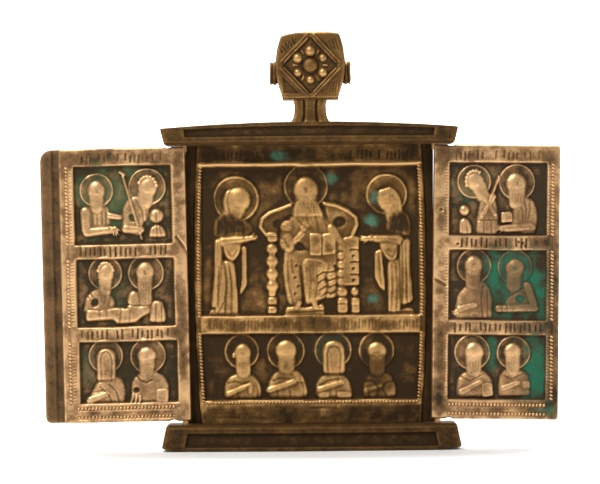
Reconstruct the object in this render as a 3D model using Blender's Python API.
"""A cast brass folding icon: a centre leaf between two rails, with a suspension loop, and two wings on pins.

The front faces -Y, +Z is up, and the origin is the middle of the lower rail's underside. All sizes are metres.
"""

import math
from collections import namedtuple

import bmesh
import bpy
from mathutils import Matrix, Vector

# Rails: the mouldings above and below the centre leaf, which hold the wings' pins
HINGE_SPACING = 0.0579
SOCKET_TO_RAIL_END = 0.0043
RAIL_END_FLARE = 0.00125
RAIL_GAP = 0.0642
LOWER_RAIL_HEIGHT = 0.0060
UPPER_RAIL_HEIGHT = 0.0051
RAIL_DEPTH = 0.0113
RAIL_BOW = 0.0014
RAIL_SET_BACK = 0.0009
RAIL_SET_BACK_HEIGHT = 0.0006
RAIL_INNER_LIP = 0.0012
RAIL_OUTER_LIP = 0.0009
RAIL_SPLAY = 0.0003
RAIL_EDGE = 0.0004
CHANNEL_DEPTH = 0.0008
END_BLOCK = 0.0052
UPPER_ARCH = 0.0013
LOWER_END_DROP = 0.0007
END_ROUND = 0.0007

# Centre leaf
BACK_Y = 0.0057
LEAF_RECESS = 0.0017
LEAF_THICKNESS = 0.0030
LEAF_TO_HINGE = 0.00215
MARGIN_TO_HINGE = 0.0006
MARGIN_SET_BACK = 0.0007
LEAF_WAIST = 0.0014
FIELD_DEPTH = 0.0010
DRAFT = 0.00025
CENTRE_STILE = 0.0016
CENTRE_FOOT_BAND = 0.0053
CENTRE_BAND = 0.0043
CENTRE_TOP_BAND = 0.0050
LOWER_FIELD_SHARE = 0.3085
RIB_WIDTH = 0.0011
RIB_RISE = 0.0002

# Wings
MEETING_GAP = 0.0013
WING_THICKNESS = 0.0026
CLOSED_GAP = 0.0005
WING_TOP_GAP = 0.0002
WING_FOOT_GAP = 0.0009
PIN_RADIUS = 0.0008
PIN_CLEARANCE = 0.0003
PIN_REACH = 0.0022
SOCKET_FLOOR_GAP = 0.0004
HINGE_STILE = 0.0037
OUTER_STILE = 0.0030
WING_FOOT_BAND = 0.0045
WING_BAND = 0.0034
WING_TOP_BAND = 0.0041
WING_FIELD_SHARES = {"left": (0.296, 0.327, 0.377), "right": (0.312, 0.338, 0.350)}
NOTCH_RADIUS = 0.0016
CORNER_RADIUS = 0.0007
LAP_WIDTH = 0.0046
LAP_THICKNESS = 0.0011
LAP_GAP = 0.0003
LAP_ROOT = 0.0022
LAP_TOP_RADIUS = 0.0028
SAG_DEGREES = {"left": 0.9, "right": 1.05}

# Suspension loop
NECK_WIDTH = 0.0074
NECK_DEPTH = 0.0062
NECK_HEIGHT = 0.0052
NECK_FOOT_FLARE = 0.0009
HEAD_HEIGHT = 0.0155
HEAD_WIDTH = 0.0160
HEAD_FIELD_DEPTH = 0.0005
LOZENGE_WIDTH = 0.0150
LOZENGE_HEIGHT = 0.0156
HEAD_DEPTH = 0.0086
COLLAR_RADIUS = 0.0027
COLLAR_SPAN = 0.0187
CORD_BORE_RADIUS = 0.0019
ROSETTE_RADIUS = 0.0035
ROSETTE_BEAD = 0.00115
ROSETTE_BOSS = 0.00175

# Busts, which all have about one size
HALO_RADIUS = 0.0040
HALO_WIDTH = 0.0006
HALO_RISE = 0.00035
HEAD_HALF_WIDTH = 0.0022
HEAD_HALF_HEIGHT = 0.0025
HEAD_RISE = 0.00095
BODY_RISE = 0.00060
ARM_RISE = 0.00085
SHOULDER_HALF = 0.0044

EMBED = 0.0003
STAGGER = 0.000006
COPPER_ALLOY = (0.42, 0.27, 0.13, 1.0)

Field = namedtuple("Field", "left right bottom top")
Bust = namedtuple("Bust", "across up head faces arm holds")

# Values worked out from the sizes above
LOWER_RAIL_TOP = LOWER_RAIL_HEIGHT
UPPER_RAIL_FOOT = LOWER_RAIL_HEIGHT + RAIL_GAP
BODY_TOP = UPPER_RAIL_FOOT + UPPER_RAIL_HEIGHT
LEAF_BACK = BACK_Y - LEAF_RECESS
LEAF_FRONT = LEAF_BACK - LEAF_THICKNESS
HINGE_X = HINGE_SPACING / 2
HINGE_Y = LEAF_FRONT - CLOSED_GAP - WING_THICKNESS / 2
RAIL_HALF = HINGE_X + SOCKET_TO_RAIL_END
LEAF_HALF = HINGE_X - LEAF_TO_HINGE
WING_LENGTH = HINGE_X - MEETING_GAP / 2
WING_FOOT = LOWER_RAIL_TOP + WING_FOOT_GAP
WING_TOP = UPPER_RAIL_FOOT - WING_TOP_GAP
WING_FRONT = HINGE_Y - WING_THICKNESS / 2
WING_BACK = HINGE_Y + WING_THICKNESS / 2
RAIL_MIDDLE_Y = BACK_Y - RAIL_DEPTH / 2
HEAD_FOOT = BODY_TOP + NECK_HEIGHT


def clear_scene():
    for thing in list(bpy.data.objects):
        bpy.data.objects.remove(thing, do_unlink=True)


def as_object(name, shape, to_world=None):
    """Closes a bmesh into an object, its faces pointing out."""
    bmesh.ops.recalc_face_normals(shape, faces=shape.faces)
    mesh = bpy.data.meshes.new(name)
    shape.to_mesh(mesh)
    shape.free()
    if to_world:
        mesh.transform(to_world)
    made = bpy.data.objects.new(name, mesh)
    bpy.context.scene.collection.objects.link(made)
    return made


def prism(outline, front, back, chamfer=0.0):
    """An outline of (x, z) points extruded from y = front to y = back, its front edge chamfered."""
    shape = bmesh.new()
    top = front + chamfer
    corners = [shape.verts.new((x, top, z)) for x, z in outline]
    face = shape.faces.new(corners)
    walls = bmesh.ops.extrude_face_region(shape, geom=[face])["geom"]
    moved = [v for v in walls if isinstance(v, bmesh.types.BMVert)]
    bmesh.ops.translate(shape, verts=moved, vec=(0, back - top, 0))
    if chamfer:
        fronts = [f for f in shape.faces if all(abs(v.co.y - top) < 1e-9 for v in f.verts)]
        bmesh.ops.inset_region(shape, faces=fronts, thickness=chamfer, use_even_offset=True)
        bmesh.ops.translate(shape, verts=list(fronts[0].verts), vec=(0, -chamfer, 0))
    return shape


def box(x_low, x_high, front, back, bottom, top):
    return prism([(x_low, bottom), (x_high, bottom), (x_high, top), (x_low, top)], front, back)


def bar_along(axis, centre, radius, start, end, sides=16):
    """A round bar along X or Z through centre, from start to end on that axis."""
    shape = bmesh.new()
    bmesh.ops.create_cone(
        shape, cap_ends=True, segments=sides, radius1=radius, radius2=radius, depth=end - start
    )
    turn = Matrix.Rotation(math.pi / 2, 4, "Y") if axis == "X" else Matrix.Identity(4)
    place = Vector(centre)
    place["XYZ".index(axis)] = (start + end) / 2
    bmesh.ops.transform(shape, matrix=Matrix.Translation(place) @ turn, verts=shape.verts)
    return shape


def dome(ground, x, z, half_width, half_height, rise, tilt=0.0, sides=10):
    """A flattened ball, sunk a little into the ground plane; a positive tilt leans its top to +X.

    One with eight sides or fewer is small, and has fewer rings.
    """
    shape = bmesh.new()
    bmesh.ops.create_uvsphere(shape, u_segments=sides, v_segments=6 if sides > 8 else 4, radius=1.0)
    pole_forward = Matrix.Rotation(math.pi / 2, 4, "X")
    stretch = Matrix.Diagonal((half_width, rise + EMBED, half_height, 1.0))
    lean = Matrix.Rotation(math.radians(tilt), 4, "Y")
    place = Matrix.Translation((x, ground + EMBED, z))
    bmesh.ops.transform(shape, matrix=place @ lean @ stretch @ pole_forward, verts=shape.verts)
    return shape


def halo(ground, x, z, radius, width=HALO_WIDTH, rise=HALO_RISE, sides=12):
    """A flat ring proud of the ground."""
    shape = bmesh.new()
    loops = []
    for y, reach in ((ground + EMBED, radius), (ground - rise, radius),
                     (ground - rise, radius - width), (ground + EMBED, radius - width)):
        ring = []
        for i in range(sides):
            angle = math.tau * i / sides
            ring.append(shape.verts.new((x + reach * math.cos(angle), y, z + reach * math.sin(angle))))
        loops.append(ring)
    for first, second in zip(loops, loops[1:] + loops[:1]):
        for i in range(sides):
            j = (i + 1) % sides
            shape.faces.new((first[i], first[j], second[j], second[i]))
    return shape


def slab(ground, outline, rise, chamfer=0.0003):
    return prism(outline, ground - rise, ground + EMBED, chamfer)


def limb(ground, start, end, start_radius, end_radius, rise, corners=3):
    """An arm, post or staff: a round-ended bar between two (x, z) points."""
    (x0, z0), (x1, z1) = start, end
    heading = math.atan2(z1 - z0, x1 - x0)
    outline = []
    for (x, z), radius, first in ((start, start_radius, math.pi / 2), (end, end_radius, -math.pi / 2)):
        for i in range(corners):
            angle = heading + first + math.pi * i / (corners - 1)
            outline.append((x + radius * math.cos(angle), z + radius * math.sin(angle)))
    return slab(ground, outline, rise, chamfer=min(start_radius, end_radius) * 0.35)


def rounded_box(x_low, x_high, bottom, top, radii, corners=4):
    """Outline of a box with radii for its corners: lower left, lower right, upper right, upper left."""
    places = ((x_low, bottom, 1, 1, 180), (x_high, bottom, -1, 1, 270),
              (x_high, top, -1, -1, 0), (x_low, top, 1, -1, 90))
    outline = []
    for (x, z, inward, upward, first), radius in zip(places, radii):
        steps = corners if radius > 0 else 1
        for i in range(steps):
            angle = math.radians(first + (90 * i / (steps - 1) if steps > 1 else 0))
            outline.append((x + inward * radius + radius * math.cos(angle),
                            z + upward * radius + radius * math.sin(angle)))
    return outline


def combine(base, others, operation):
    """Joins or cuts others, a list of objects, with base by one Boolean, and removes them."""
    group = bpy.data.collections.new("operands")
    for other in others:
        group.objects.link(other)
    step = base.modifiers.new(operation, "BOOLEAN")
    step.operand_type = "COLLECTION"
    step.collection = group
    step.operation = operation
    step.solver = "EXACT"
    result = bpy.data.meshes.new_from_object(base.evaluated_get(bpy.context.evaluated_depsgraph_get()))
    base.modifiers.clear()
    base.data = result
    for other in others:
        bpy.data.objects.remove(other, do_unlink=True)
    bpy.data.collections.remove(group)
    return base


def relief_objects(shapes, to_world=None):
    """Each shape sits a few microns deeper than the one before, so that no two tops share a plane."""
    made = []
    for i, shape in enumerate(shapes):
        bmesh.ops.translate(shape, verts=shape.verts, vec=(0, STAGGER * (i % 12), 0))
        made.append(as_object("relief", shape, to_world))
    return made


def field_cutter(field, front, depth):
    """Cuts a sunk field whose walls open towards the front."""
    shape = box(field.left - DRAFT, field.right + DRAFT, front - depth, front + depth,
                field.bottom - DRAFT, field.top + DRAFT)
    middle_x = (field.left + field.right) / 2
    middle_z = (field.bottom + field.top) / 2
    for corner in shape.verts:
        if corner.co.y > front:
            corner.co.x += math.copysign(DRAFT, middle_x - corner.co.x)
            corner.co.z += math.copysign(DRAFT, middle_z - corner.co.z)
    return shape


# Rails

def rail_section(height, depth, channel):
    """(forward from the back, away from the wings) around one cross-section."""
    return [
        (0, 0),
        (depth - RAIL_SET_BACK, 0),
        (depth, RAIL_SET_BACK_HEIGHT),
        (depth, RAIL_SET_BACK_HEIGHT + RAIL_INNER_LIP),
        (depth - channel, RAIL_SET_BACK_HEIGHT + RAIL_INNER_LIP + RAIL_SPLAY),
        (depth - channel, height - RAIL_OUTER_LIP - RAIL_SPLAY),
        (depth, height - RAIL_OUTER_LIP),
        (depth, height - RAIL_EDGE),
        (depth - RAIL_EDGE, height),
        (0, height),
    ]


def rail(name, wing_side_z, outward, height, drop_at_end, level_share):
    """A moulded rail, bowed in plan, whose front channel stops at a solid block at each end.

    Its outer face is level for level_share of its half length and then falls towards the end.
    """
    half = RAIL_HALF
    flare = RAIL_END_FLARE / RAIL_HALF
    block = half - END_BLOCK
    step = RAIL_SPLAY
    right = [(0, 1), (block * 0.35, 1), (block * 0.7, 1), (block - step, 1), (block, 0),
             (half - END_ROUND, 0), (half, 0)]
    stations = [(-x, open_) for x, open_ in reversed(right[1:])] + right
    shape = bmesh.new()
    rings = []
    for x, channel_open in stations:
        share = abs(x) / half
        drop = drop_at_end * max(0.0, (share - level_share) / (1 - level_share)) ** 2
        depth = RAIL_DEPTH + RAIL_BOW * (1 - share ** 2)
        depth -= END_ROUND if share > 0.999 else 0.0
        ring = []
        for forward, away in rail_section(height, depth, CHANNEL_DEPTH * channel_open):
            lifted = away - drop * (away / height) ** 2
            ring.append(shape.verts.new((x * (1 + flare * lifted / height), BACK_Y - forward,
                                         wing_side_z + outward * lifted)))
        rings.append(ring)
    for first, second in zip(rings, rings[1:]):
        for i in range(len(first)):
            j = (i + 1) % len(first)
            shape.faces.new((first[i], first[j], second[j], second[i]))
    shape.faces.new(rings[0])
    shape.faces.new(rings[-1])
    return as_object(name, shape)


def pin_sockets():
    """Blind holes in both rails for the wings' pins."""
    reach = PIN_REACH + SOCKET_FLOOR_GAP
    radius = PIN_RADIUS + PIN_CLEARANCE
    found = []
    for side in (-1, 1):
        centre = (side * HINGE_X, HINGE_Y, 0)
        lower = bar_along("Z", centre, radius, LOWER_RAIL_TOP - reach, LOWER_RAIL_TOP + reach)
        upper = bar_along("Z", centre, radius, UPPER_RAIL_FOOT - reach, UPPER_RAIL_FOOT + reach)
        found += [as_object("lower_socket", lower), as_object("upper_socket", upper)]
    return found


# Suspension loop

def head_outline():
    """The loop's front outline: narrow below, widest at the collars, with an arched top."""
    half = HEAD_WIDTH / 2
    shares = ((0.80, 0.0), (0.85, 0.11), (0.92, 0.20), (0.985, 0.38), (1.0, 0.57), (0.94, 0.78), (0.87, 0.93),
              (0.76, 0.972), (0.35, 1.0))
    right = [(half * across, HEAD_FOOT + HEAD_HEIGHT * up) for across, up in shares]
    return right + [(-x, z) for x, z in reversed(right)]


def lozenge(centre_z, share=1.0, cut=0.14):
    """Outline of the eight-sided panel around the rosette: a lozenge with its tips cut off."""
    tips = [(LOZENGE_WIDTH / 2, 0), (0, LOZENGE_HEIGHT / 2), (-LOZENGE_WIDTH / 2, 0), (0, -LOZENGE_HEIGHT / 2)]
    outline = []
    for (x0, z0), (x1, z1) in zip(tips, tips[1:] + tips[:1]):
        for along in (cut, 1 - cut):
            outline.append((share * (x0 + (x1 - x0) * along), centre_z + share * (z0 + (z1 - z0) * along)))
    return outline


def loop_parts():
    """Neck, head, side collars, lozenge ridges and rosette."""
    middle_z = HEAD_FOOT + HEAD_HEIGHT * 0.5
    collar_z = HEAD_FOOT + HEAD_HEIGHT * 0.40
    front = RAIL_MIDDLE_Y - HEAD_DEPTH / 2
    back = RAIL_MIDDLE_Y + HEAD_DEPTH / 2
    ground = front + HEAD_FIELD_DEPTH
    half = NECK_WIDTH / 2
    foot = half + NECK_FOOT_FLARE
    waist = BODY_TOP + NECK_HEIGHT * 0.3
    sunk = BODY_TOP - UPPER_RAIL_HEIGHT / 3
    neck = prism([(-foot, sunk), (foot, sunk), (foot, BODY_TOP), (half, waist), (half, HEAD_FOOT - 2 * EMBED),
                  (half * 1.15, HEAD_FOOT + 2 * EMBED), (-half * 1.15, HEAD_FOOT + 2 * EMBED),
                  (-half, HEAD_FOOT - 2 * EMBED), (-half, waist), (-foot, BODY_TOP)],
                 RAIL_MIDDLE_Y - NECK_DEPTH / 2, RAIL_MIDDLE_Y + NECK_DEPTH / 2)
    head = as_object("head", prism(head_outline(), front, back, 0.0004))
    sunk_panel = as_object("panel", prism(lozenge(middle_z, 0.9), front - HEAD_FIELD_DEPTH, ground))
    combine(head, [sunk_panel], "DIFFERENCE")
    parts = [
        as_object("neck", neck),
        head,
        as_object("collar", bar_along("X", (0, RAIL_MIDDLE_Y, collar_z), COLLAR_RADIUS,
                                      -COLLAR_SPAN / 2, COLLAR_SPAN / 2)),
        as_object("boss", dome(ground, 0, middle_z, ROSETTE_BOSS, ROSETTE_BOSS, ROSETTE_BOSS * 0.7)),
    ]
    for i in range(6):
        angle = math.radians(90 + 60 * i)
        x = ROSETTE_RADIUS * math.cos(angle)
        z = middle_z + ROSETTE_RADIUS * math.sin(angle)
        parts.append(as_object("bead", dome(ground, x, z, ROSETTE_BEAD, ROSETTE_BEAD, ROSETTE_BEAD, sides=8)))
    corners = lozenge(middle_z)
    for start, end in zip(corners[::2], corners[1::2]):
        parts.append(as_object("ridge", limb(front, start, end, 0.0004, 0.0004, 0.0003, corners=2)))
    return parts, collar_z


# Relief figures

def torso(ground, x, base, neck_z, half, rise=BODY_RISE):
    """Shoulders sloping from the neck and falling to the field's foot."""
    height = neck_z - base
    shares = ((0.30, 1.0), (0.76, 0.84), (1.0, 0.50), (0.98, 0.0))
    right = [(x + half * across, base + height * up) for across, up in shares]
    left = [(2 * x - px, pz) for px, pz in reversed(right)]
    return slab(ground, right + left, rise)


def bust_parts(ground, field, bust):
    """One saint at half length: halo, head with beard or veil, shoulders, arm and what the hand holds.

    across runs from -1 to 1 over the field's width, and up from 0 to 1 over its height.
    """
    x = (field.left + field.right) / 2 + bust.across * (field.right - field.left) / 2
    head_z = field.bottom + bust.up * (field.top - field.bottom)
    base = field.bottom - EMBED
    neck_z = head_z - HEAD_HALF_HEIGHT * 1.75
    face = bust.faces
    found = [halo(ground, x, head_z - 0.0001, HALO_RADIUS)]
    found.append(torso(ground, x, base, neck_z + 0.0006, SHOULDER_HALF))
    tilt = 28 * face if bust.head == "bowed" else 0
    if bust.head == "veil":
        found.append(dome(ground, x, head_z - 0.0013, HEAD_HALF_WIDTH * 1.1, HEAD_HALF_HEIGHT * 1.5, HEAD_RISE))
    else:
        found.append(dome(ground, x, head_z, HEAD_HALF_WIDTH, HEAD_HALF_HEIGHT, HEAD_RISE, tilt))
        chin_x = x - face * 0.0012 if tilt else x
        length = 0.0030 if bust.head == "beard" else 0.0018
        found.append(dome(ground, chin_x, head_z - HEAD_HALF_HEIGHT * 1.15, HEAD_HALF_WIDTH * 0.75, length,
                          HEAD_RISE * 0.93, tilt, sides=8))
    rise = neck_z - base
    if bust.arm == "across":
        elbow = (x - face * SHOULDER_HALF * 0.8, base + rise * 0.24)
        hand = (x + face * SHOULDER_HALF * 1.05, base + rise * 0.24)
        found.append(limb(ground, (elbow[0], base + rise * 0.7), elbow, 0.0010, 0.0010, ARM_RISE * 0.9))
    else:
        elbow = (x - face * SHOULDER_HALF * 0.72, base + rise * 0.30)
        hand = (x + face * SHOULDER_HALF * 0.12, base + rise * 0.52)
    found.append(limb(ground, elbow, hand, 0.0010, 0.0008, ARM_RISE))
    side = x + face * SHOULDER_HALF * 0.62
    if bust.holds == "book":
        found.append(slab(ground, [(side - 0.0014, base), (side + 0.0014, base), (side + 0.0015, base + 0.0038),
                                   (side - 0.0015, base + 0.0035)], ARM_RISE, 0.0002))
    if bust.holds == "staff":
        foot = (x - face * 0.0018, base + 0.0006)
        tip = (x - face * 0.0060, min(head_z + 0.0032, field.top - 0.0008))
        found.append(limb(ground, foot, tip, 0.00045, 0.00045, ARM_RISE, corners=2))
        child_x = x + face * 0.0022
        found.append(dome(ground, child_x, base + 0.0060, 0.0015, 0.0015, HEAD_RISE, sides=8))
        found.append(dome(ground, child_x, base + 0.0018, 0.0021, 0.0031, BODY_RISE, sides=8))
    return found


def standing_parts(ground, x, foot, height, face):
    """A robed figure at full length, bowing and holding both hands out to the side that it faces."""
    def at(across, up):
        return (x + face * across * height, foot + up * height)

    def block(rise, *points):
        outline = [at(*p) for p in points]
        return slab(ground, outline if face > 0 else outline[::-1], rise)

    found = [
        halo(ground, *at(0.07, 0.915), height * 0.18, HALO_WIDTH, HALO_RISE, 18),
        dome(ground, *at(0.075, 0.885), height * 0.108, height * 0.122, HEAD_RISE, tilt=32 * face),
        dome(ground, *at(0.045, 0.71), height * 0.165, height * 0.115, BODY_RISE, tilt=-12 * face),
        limb(ground, at(-0.07, 0.575), at(0.21, 0.595), height * 0.046, height * 0.034, ARM_RISE),
        limb(ground, at(0.20, 0.60), at(0.27, 0.60), height * 0.024, height * 0.016, ARM_RISE * 0.9),
        block(BODY_RISE, (-0.12, 0.70), (-0.165, 0.02), (0.045, 0.02), (0.05, 0.42), (0.15, 0.60), (0.13, 0.72)),
        block(ARM_RISE, (-0.03, 0.56), (-0.03, 0.50), (0.05, 0.435), (0.10, 0.465), (0.145, 0.56)),
        block(BODY_RISE * 0.75, (0.095, 0.56), (0.095, 0.26), (0.075, 0.17), (0.115, 0.14), (0.14, 0.26),
              (0.13, 0.56)),
        block(BODY_RISE * 0.8, (-0.19, 0.03), (-0.20, -0.012), (0.05, -0.012), (0.05, 0.03)),
    ]
    for across in (-0.075, -0.015):
        found.append(limb(ground, at(across, 0.05), at(across + 0.015, 0.42), height * 0.014, height * 0.012,
                          ARM_RISE, corners=2))
    return found


def throned_parts(ground, x, foot, height):
    """The middle figure on a throne, blessing, with an open book on one knee and feet on a stool."""
    def at(across, up):
        return (x + across * height, foot + up * height)

    def block(rise, *points, chamfer=0.0003):
        return slab(ground, [at(*p) for p in points], rise, chamfer)

    def arch(radius, up, squash):
        angles = [math.radians(a) for a in range(-30, 211, 20)]
        return [(radius * math.cos(a), up + radius * squash * math.sin(a)) for a in angles]

    found = [
        block(BODY_RISE * 0.6, *arch(0.345, 0.60, 0.46)),
        block(BODY_RISE, (-0.13, 0.76), (-0.215, 0.66), (-0.22, 0.42), (0.20, 0.42), (0.20, 0.66), (0.12, 0.76)),
        block(BODY_RISE, (-0.16, 0.40), (-0.17, 0.30), (-0.12, 0.06), (0.15, 0.08), (0.19, 0.30), (0.16, 0.40)),
        block(ARM_RISE, (-0.045, 0.385), (-0.035, 0.08), (0.07, 0.07), (0.115, 0.34), (0.10, 0.385)),
        block(ARM_RISE * 0.8, (-0.15, 0.07), (-0.165, 0.0), (0.115, 0.0), (0.115, 0.05)),
        halo(ground, *at(0.0, 0.873), height * 0.160, HALO_WIDTH, HALO_RISE, 18),
        dome(ground, *at(0.0, 0.865), height * 0.092, height * 0.110, HEAD_RISE),
        dome(ground, *at(0.0, 0.755), height * 0.066, height * 0.085, HEAD_RISE * 0.93, sides=8),
        limb(ground, at(-0.165, 0.63), at(-0.19, 0.47), height * 0.045, height * 0.043, ARM_RISE),
        limb(ground, at(-0.17, 0.47), at(-0.045, 0.60), height * 0.040, height * 0.034, ARM_RISE),
        block(ARM_RISE, (0.0, 0.42), (0.19, 0.42), (0.19, 0.575), (0.0, 0.575), chamfer=0.0002),
    ]
    posts = ((-0.275, 0.0), (0.235, 0.0), (0.325, 0.0))
    ball_pitch = 0.088
    for across, bottom in posts:
        found.append(block(BODY_RISE, (across - 0.03, bottom), (across + 0.03, bottom),
                           (across + 0.03, bottom + 0.11), (across - 0.03, bottom + 0.11), chamfer=0.00015))
        for i in range(5 if across < 0.3 else 1):
            up = bottom + 0.145 + ball_pitch * i
            found.append(dome(ground, *at(across, up), height * 0.036, height * 0.050, ARM_RISE, sides=8))
    found.append(block(ARM_RISE, (0.255, 0.20), (0.355, 0.20), (0.355, 0.47), (0.255, 0.47), chamfer=0.0002))
    return found


# The three leaves

CENTRE_BUSTS = (
    Bust(-0.637, 0.742, "beard", 1, "folded", "none"),
    Bust(-0.222, 0.748, "short_beard", 1, "folded", "none"),
    Bust(0.210, 0.748, "veil", 1, "folded", "none"),
    Bust(0.603, 0.742, "beard", 1, "folded", "none"),
)
WING_BUSTS = {
    "left": (
        (Bust(-0.415, 0.759, "veil", 1, "folded", "none"), Bust(0.443, 0.765, "beard", 1, "folded", "book")),
        (Bust(-0.379, 0.781, "bowed", 1, "across", "none"), Bust(0.444, 0.820, "beard", -1, "across", "none")),
        (Bust(-0.513, 0.694, "short_beard", 1, "across", "none"), Bust(0.551, 0.721, "bowed", 1, "folded", "staff")),
    ),
    "right": (
        (Bust(-0.489, 0.718, "beard", 1, "folded", "book"), Bust(0.310, 0.735, "beard", 1, "folded", "book")),
        (Bust(-0.495, 0.783, "beard", 1, "folded", "none"), Bust(0.345, 0.776, "bowed", -1, "across", "none")),
        (Bust(-0.450, 0.731, "bowed", -1, "folded", "staff"), Bust(0.425, 0.725, "beard", -1, "across", "book")),
    ),
}


def leaf_outline(rows=9):
    """The centre leaf's outline, a little narrower at its top and foot."""
    bottom = LOWER_RAIL_TOP - 2 * EMBED
    top = UPPER_RAIL_FOOT + 2 * EMBED
    right = []
    for i in range(rows):
        up = i / (rows - 1)
        narrowing = LEAF_WAIST * (2 * up - 1.12) ** 2 / 1.25
        right.append((LEAF_HALF - narrowing, bottom + (top - bottom) * up))
    return right + [(-x, z) for x, z in reversed(right)]


def stacked_fields(left, right, bottom, top, band, shares):
    """Fields one above another, lowest first: they share what the bands between them leave."""
    free = top - bottom - band * (len(shares) - 1)
    fields = []
    for share in shares:
        fields.append(Field(left, right, bottom, bottom + free * share))
        bottom += free * share + band
    return fields


def centre_fields():
    half = LEAF_HALF - CENTRE_STILE
    return stacked_fields(-half, half, LOWER_RAIL_TOP + CENTRE_FOOT_BAND, UPPER_RAIL_FOOT - CENTRE_TOP_BAND,
                          CENTRE_BAND, (LOWER_FIELD_SHARE, 1 - LOWER_FIELD_SHARE))


def rib(front, x_low, x_high, bottom, top, rise=RIB_RISE):
    """A raised border strip, where the real one is a worn rope moulding."""
    return prism([(x_low, bottom), (x_high, bottom), (x_high, top), (x_low, top)], front - rise, front + EMBED,
                 rise * 0.7)


def centre_relief(fields):
    ground = LEAF_FRONT + FIELD_DEPTH
    lower, upper = fields
    shapes = []
    for bust in CENTRE_BUSTS:
        shapes += bust_parts(ground, lower, bust)
    tall = upper.top - upper.bottom
    middle = (upper.left + upper.right) / 2
    half = (upper.right - upper.left) / 2
    shapes += standing_parts(ground, middle - half * 0.71, upper.bottom + 0.0006, tall * 0.83, 1)
    shapes += standing_parts(ground, middle + half * 0.77, upper.bottom + 0.0006, tall * 0.82, -1)
    shapes += throned_parts(ground, middle - 0.0006, upper.bottom + 0.0002, tall * 0.955)
    edge = upper.right
    shapes.append(rib(LEAF_FRONT, -edge, edge, upper.top + DRAFT * 2, upper.top + DRAFT * 2 + RIB_WIDTH))
    shapes.append(rib(LEAF_FRONT, -edge, edge, lower.bottom - DRAFT * 2 - RIB_WIDTH, lower.bottom - DRAFT * 2))
    return shapes


def build_centre():
    fields = centre_fields()
    leaf = as_object("centre_leaf", prism(leaf_outline(), LEAF_FRONT, LEAF_BACK))
    margin = HINGE_X - MARGIN_TO_HINGE
    plate = box(-margin, margin, LEAF_FRONT + MARGIN_SET_BACK, LEAF_BACK, LOWER_RAIL_TOP - 3 * EMBED,
                UPPER_RAIL_FOOT + 3 * EMBED)
    combine(leaf, [as_object("plate", plate)], "UNION")
    cutters = [as_object("field", field_cutter(f, LEAF_FRONT, FIELD_DEPTH)) for f in fields]
    combine(leaf, cutters, "DIFFERENCE")
    loop, collar_z = loop_parts()
    rails = [rail("lower_rail", LOWER_RAIL_TOP, -1, LOWER_RAIL_HEIGHT, LOWER_END_DROP, 0.75),
             rail("upper_rail", UPPER_RAIL_FOOT, 1, UPPER_RAIL_HEIGHT, UPPER_ARCH, 0.0)]
    relief = relief_objects(centre_relief(fields))
    combine(leaf, rails + loop + relief, "UNION")
    bore = bar_along("X", (0, RAIL_MIDDLE_Y, collar_z), CORD_BORE_RADIUS, -COLLAR_SPAN, COLLAR_SPAN)
    combine(leaf, pin_sockets() + [as_object("bore", bore)], "DIFFERENCE")
    return leaf


def wing_fields(name, side):
    near = side * (HINGE_X - PIN_RADIUS + HINGE_STILE)
    far = side * (HINGE_X + WING_LENGTH - OUTER_STILE)
    return stacked_fields(min(near, far), max(near, far), WING_FOOT + WING_FOOT_BAND, WING_TOP - WING_TOP_BAND,
                          WING_BAND, WING_FIELD_SHARES[name])


def lap_strip(outer):
    """The left wing's strip, which covers the joint between the closed wings."""
    outline = rounded_box(outer - LAP_WIDTH, outer + LAP_ROOT, WING_FOOT, WING_TOP,
                          (CORNER_RADIUS * 2, 0, 0, LAP_TOP_RADIUS), corners=5)
    flange = prism(outline, WING_BACK + LAP_GAP, WING_BACK + LAP_GAP + LAP_THICKNESS)
    root = box(outer - LAP_GAP, outer + LAP_ROOT - EMBED, WING_BACK - LAP_THICKNESS,
               WING_BACK + LAP_GAP + LAP_THICKNESS / 2, WING_FOOT + EMBED, WING_TOP - LAP_TOP_RADIUS / 2)
    return [flange, root]


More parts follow.
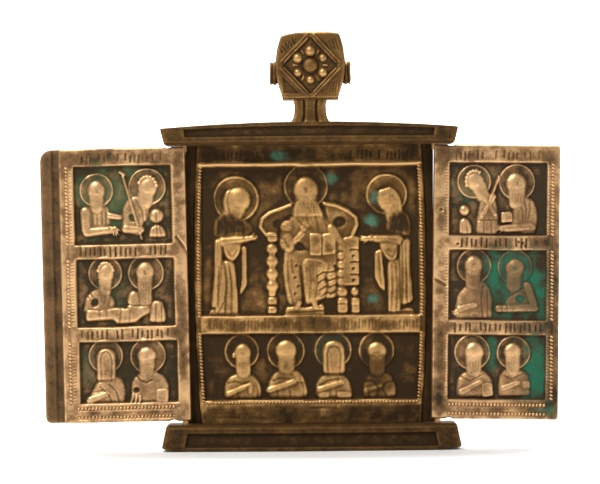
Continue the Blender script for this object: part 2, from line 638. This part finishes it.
def build_wing(name, side):
    """side is -1 for the left wing and 1 for the right one."""
    inner = side * (HINGE_X - PIN_RADIUS)
    outer = side * (HINGE_X + WING_LENGTH)
    low, high = min(inner, outer), max(inner, outer)
    hinge_middle = Vector((side * HINGE_X, HINGE_Y, (WING_FOOT + WING_TOP) / 2))
    turn = Matrix.Rotation(side * math.radians(SAG_DEGREES[name]), 4, "Y")
    sag = Matrix.Translation(hinge_middle) @ turn @ Matrix.Translation(-hinge_middle)
    round_corner = CORNER_RADIUS
    radii = (round_corner, 0, 0, round_corner) if side < 0 else (0, round_corner, round_corner, 0)
    outline = rounded_box(low, high, WING_FOOT, WING_TOP, radii)
    wing = as_object(name + "_wing", prism(outline, WING_FRONT, WING_BACK, 0.0003), sag)
    fields = wing_fields(name, side)
    cutters = [field_cutter(f, WING_FRONT, FIELD_DEPTH) for f in fields]
    notch_x = side * (HINGE_X + NOTCH_RADIUS * 2)
    for edge in (WING_FOOT - NOTCH_RADIUS * 0.35, WING_TOP + NOTCH_RADIUS * 0.35):
        scoop = [(notch_x + NOTCH_RADIUS * math.cos(math.tau * i / 12), edge + NOTCH_RADIUS * math.sin(
            math.tau * i / 12)) for i in range(12)]
        cutters.append(prism(scoop, WING_FRONT - EMBED, WING_BACK + EMBED))
    combine(wing, [as_object("cutter", c, sag) for c in cutters], "DIFFERENCE")
    ground = WING_FRONT + FIELD_DEPTH
    shapes = []
    for field, pair in zip(fields, WING_BUSTS[name]):
        for bust in pair:
            shapes += bust_parts(ground, field, bust)
    lowest = fields[0]
    rib_top = lowest.bottom - DRAFT * 2
    shapes.append(rib(WING_FRONT, lowest.left, lowest.right, rib_top - RIB_WIDTH, rib_top))
    relief = relief_objects(shapes, sag)
    if name == "left":
        relief += [as_object("lap", shape, sag) for shape in lap_strip(outer)]
    centre = (side * HINGE_X, HINGE_Y, 0)
    for start, end in ((LOWER_RAIL_TOP - PIN_REACH, WING_FOOT + RIB_WIDTH),
                       (WING_TOP - RIB_WIDTH, UPPER_RAIL_FOOT + PIN_REACH)):
        relief.append(as_object("pin", bar_along("Z", centre, PIN_RADIUS, start, end)))
    return combine(wing, relief, "UNION")


def finish(leaf, pivot):
    """Puts a leaf's origin on its pivot, and gives it copper alloy, smooth across its shallow angles."""
    leaf.data.transform(Matrix.Translation(-pivot))
    leaf.location = pivot
    metal = bpy.data.materials.new(leaf.name + "_alloy")
    metal.use_nodes = True
    shader = metal.node_tree.nodes["Principled BSDF"]
    shader.inputs["Base Color"].default_value = COPPER_ALLOY
    shader.inputs["Metallic"].default_value = 0.9
    shader.inputs["Roughness"].default_value = 0.45
    leaf.data.materials.clear()
    leaf.data.materials.append(metal)
    leaf.data.shade_smooth()
    leaf.data.set_sharp_from_angle(angle=math.radians(35))


clear_scene()
centre = build_centre()
finish(centre, Vector((0, 0, 0)))
for wing_name, wing_side in (("left", -1), ("right", 1)):
    wing = build_wing(wing_name, wing_side)
    finish(wing, Vector((wing_side * HINGE_X, HINGE_Y, 0)))
    wing.parent = centre
